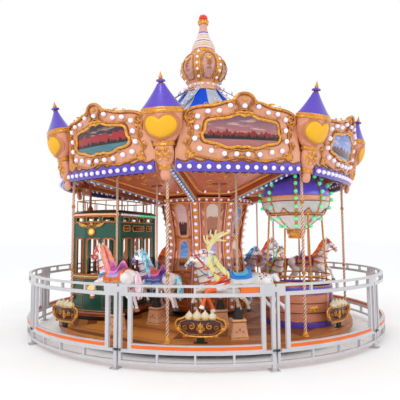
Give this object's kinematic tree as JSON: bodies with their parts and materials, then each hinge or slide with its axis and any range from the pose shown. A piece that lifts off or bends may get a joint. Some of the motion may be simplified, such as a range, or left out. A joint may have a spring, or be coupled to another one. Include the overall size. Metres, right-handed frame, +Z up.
{
  "type": "fairground carousel",
  "caption": "Turntable carousel with rising animals, a tram and a balloon under an eight-sided canopy, in a fence.",
  "frame": {"origin": "on the ground at the centre of the turntable", "axes": "+Z up; -Y is the middle of the front canopy side; +X to the right seen from the front"},
  "size_m": [6.2324, 6.296, 5.9963],
  "materials": {
    "fence_paint": "white gloss paint on steel tube",
    "frame_steel": "black paint on rolled steel",
    "deck_wood": "varnished boards, laid radially",
    "plinth_paint": "dark satin paint",
    "column_paint": "painted glass-fibre with gold mouldings",
    "gold_paint": "gold paint on steel tube",
    "ceiling_paint": "terracotta paint over moulded scrolls",
    "board_paint": "painted glass-fibre with gold edges",
    "turret_paint": "painted glass-fibre with violet cone",
    "roof_canvas": "blue and grey-white coated canvas",
    "crown_paint": "gold paint on glass-fibre",
    "spire_paint": "pink and cream paint on glass-fibre",
    "tram_paint": "dark green gloss with gold trim",
    "basket_paint": "painted glass-fibre, violet bands",
    "envelope_paint": "violet and grey-white gloss",
    "animal_paint": "gloss paint on glass-fibre",
    "sign_paint": "maroon gloss with gold edge"
  },
  "bodies": {
    "fixed_base": {"fence_panel_0": "fence_paint", "fence_panel_1": "fence_paint", "fence_panel_2": "fence_paint", "fence_panel_3": "fence_paint", "fence_panel_4": "fence_paint", "fence_panel_5": "fence_paint", "fence_panel_6": "fence_paint", "fence_panel_7": "fence_paint", "fence_panel_8": "fence_paint", "fence_panel_9": "fence_paint", "base_frame": "frame_steel"},
    "turntable": {"deck": "deck_wood", "column_plinth": "plinth_paint", "column": "column_paint", "canopy_frame": "gold_paint", "ceiling": "ceiling_paint", "rounding_board_0": "board_paint", "turret_0": "turret_paint", "rounding_board_1": "board_paint", "turret_1": "turret_paint", "rounding_board_2": "board_paint", "turret_2": "turret_paint", "rounding_board_3": "board_paint", "turret_3": "turret_paint", "rounding_board_4": "board_paint", "turret_4": "turret_paint", "rounding_board_5": "board_paint", "turret_5": "turret_paint", "rounding_board_6": "board_paint", "turret_6": "turret_paint", "rounding_board_7": "board_paint", "turret_7": "turret_paint", "roof": "roof_canvas", "crown": "crown_paint", "spire": "spire_paint", "tram_body": "tram_paint", "tram_roof": "tram_paint", "balloon_basket": "basket_paint", "balloon_posts": "gold_paint", "balloon_envelope": "envelope_paint", "sign_0": "sign_paint", "sign_1": "sign_paint", "sign_2": "sign_paint", "sign_3": "sign_paint", "sign_4": "sign_paint", "sign_5": "sign_paint"},
    "horse_pink_ride": {"horse_pink": "animal_paint"},
    "horse_white_ride": {"horse_white": "animal_paint"},
    "reindeer_ride": {"reindeer": "animal_paint"},
    "horse_cream_ride": {"horse_cream": "animal_paint"},
    "horse_red_mane_ride": {"horse_red_mane": "animal_paint"},
    "horse_grey_ride": {"horse_grey": "animal_paint"},
    "horse_chestnut_ride": {"horse_chestnut": "animal_paint"},
    "horse_green_ride": {"horse_green": "animal_paint"},
    "horse_blue_ride": {"horse_blue": "animal_paint"},
    "horse_gold_ride": {"horse_gold": "animal_paint"},
    "horse_violet_ride": {"horse_violet": "animal_paint"},
    "horse_orange_ride": {"horse_orange": "animal_paint"}
  },
  "joints": [
    {"name": "turntable_spin", "type": "hinge", "parent": "fixed_base", "child": "turntable", "pos_m": [0, 0, 0.1], "axis": [0, 0, -1], "continuous": true},
    {"name": "horse_pink_slide", "type": "slide", "parent": "turntable", "child": "horse_pink_ride", "axis": [0, 0, 1], "range_m": [-0.15, 0.09]},
    {"name": "horse_white_slide", "type": "slide", "parent": "turntable", "child": "horse_white_ride", "axis": [0, 0, 1], "range_m": [-0.05, 0.19]},
    {"name": "reindeer_slide", "type": "slide", "parent": "turntable", "child": "reindeer_ride", "axis": [0, 0, 1], "range_m": [-0.1, 0.14]},
    {"name": "horse_cream_slide", "type": "slide", "parent": "turntable", "child": "horse_cream_ride", "axis": [0, 0, 1], "range_m": [-0.02, 0.22]},
    {"name": "horse_red_mane_slide", "type": "slide", "parent": "turntable", "child": "horse_red_mane_ride", "axis": [0, 0, 1], "range_m": [-0.21, 0.03]},
    {"name": "horse_grey_slide", "type": "slide", "parent": "turntable", "child": "horse_grey_ride", "axis": [0, 0, 1], "range_m": [-0.03, 0.21]},
    {"name": "horse_chestnut_slide", "type": "slide", "parent": "turntable", "child": "horse_chestnut_ride", "axis": [0, 0, 1], "range_m": [-0.21, 0.03]},
    {"name": "horse_green_slide", "type": "slide", "parent": "turntable", "child": "horse_green_ride", "axis": [0, 0, 1], "range_m": [-0.07, 0.17]},
    {"name": "horse_blue_slide", "type": "slide", "parent": "turntable", "child": "horse_blue_ride", "axis": [0, 0, 1], "range_m": [-0.06, 0.18]},
    {"name": "horse_gold_slide", "type": "slide", "parent": "turntable", "child": "horse_gold_ride", "axis": [0, 0, 1], "range_m": [-0.19, 0.05]},
    {"name": "horse_violet_slide", "type": "slide", "parent": "turntable", "child": "horse_violet_ride", "axis": [0, 0, 1], "range_m": [-0.17, 0.07]},
    {"name": "horse_orange_slide", "type": "slide", "parent": "turntable", "child": "horse_orange_ride", "axis": [0, 0, 1], "range_m": [-0.04, 0.2]}
  ]
}
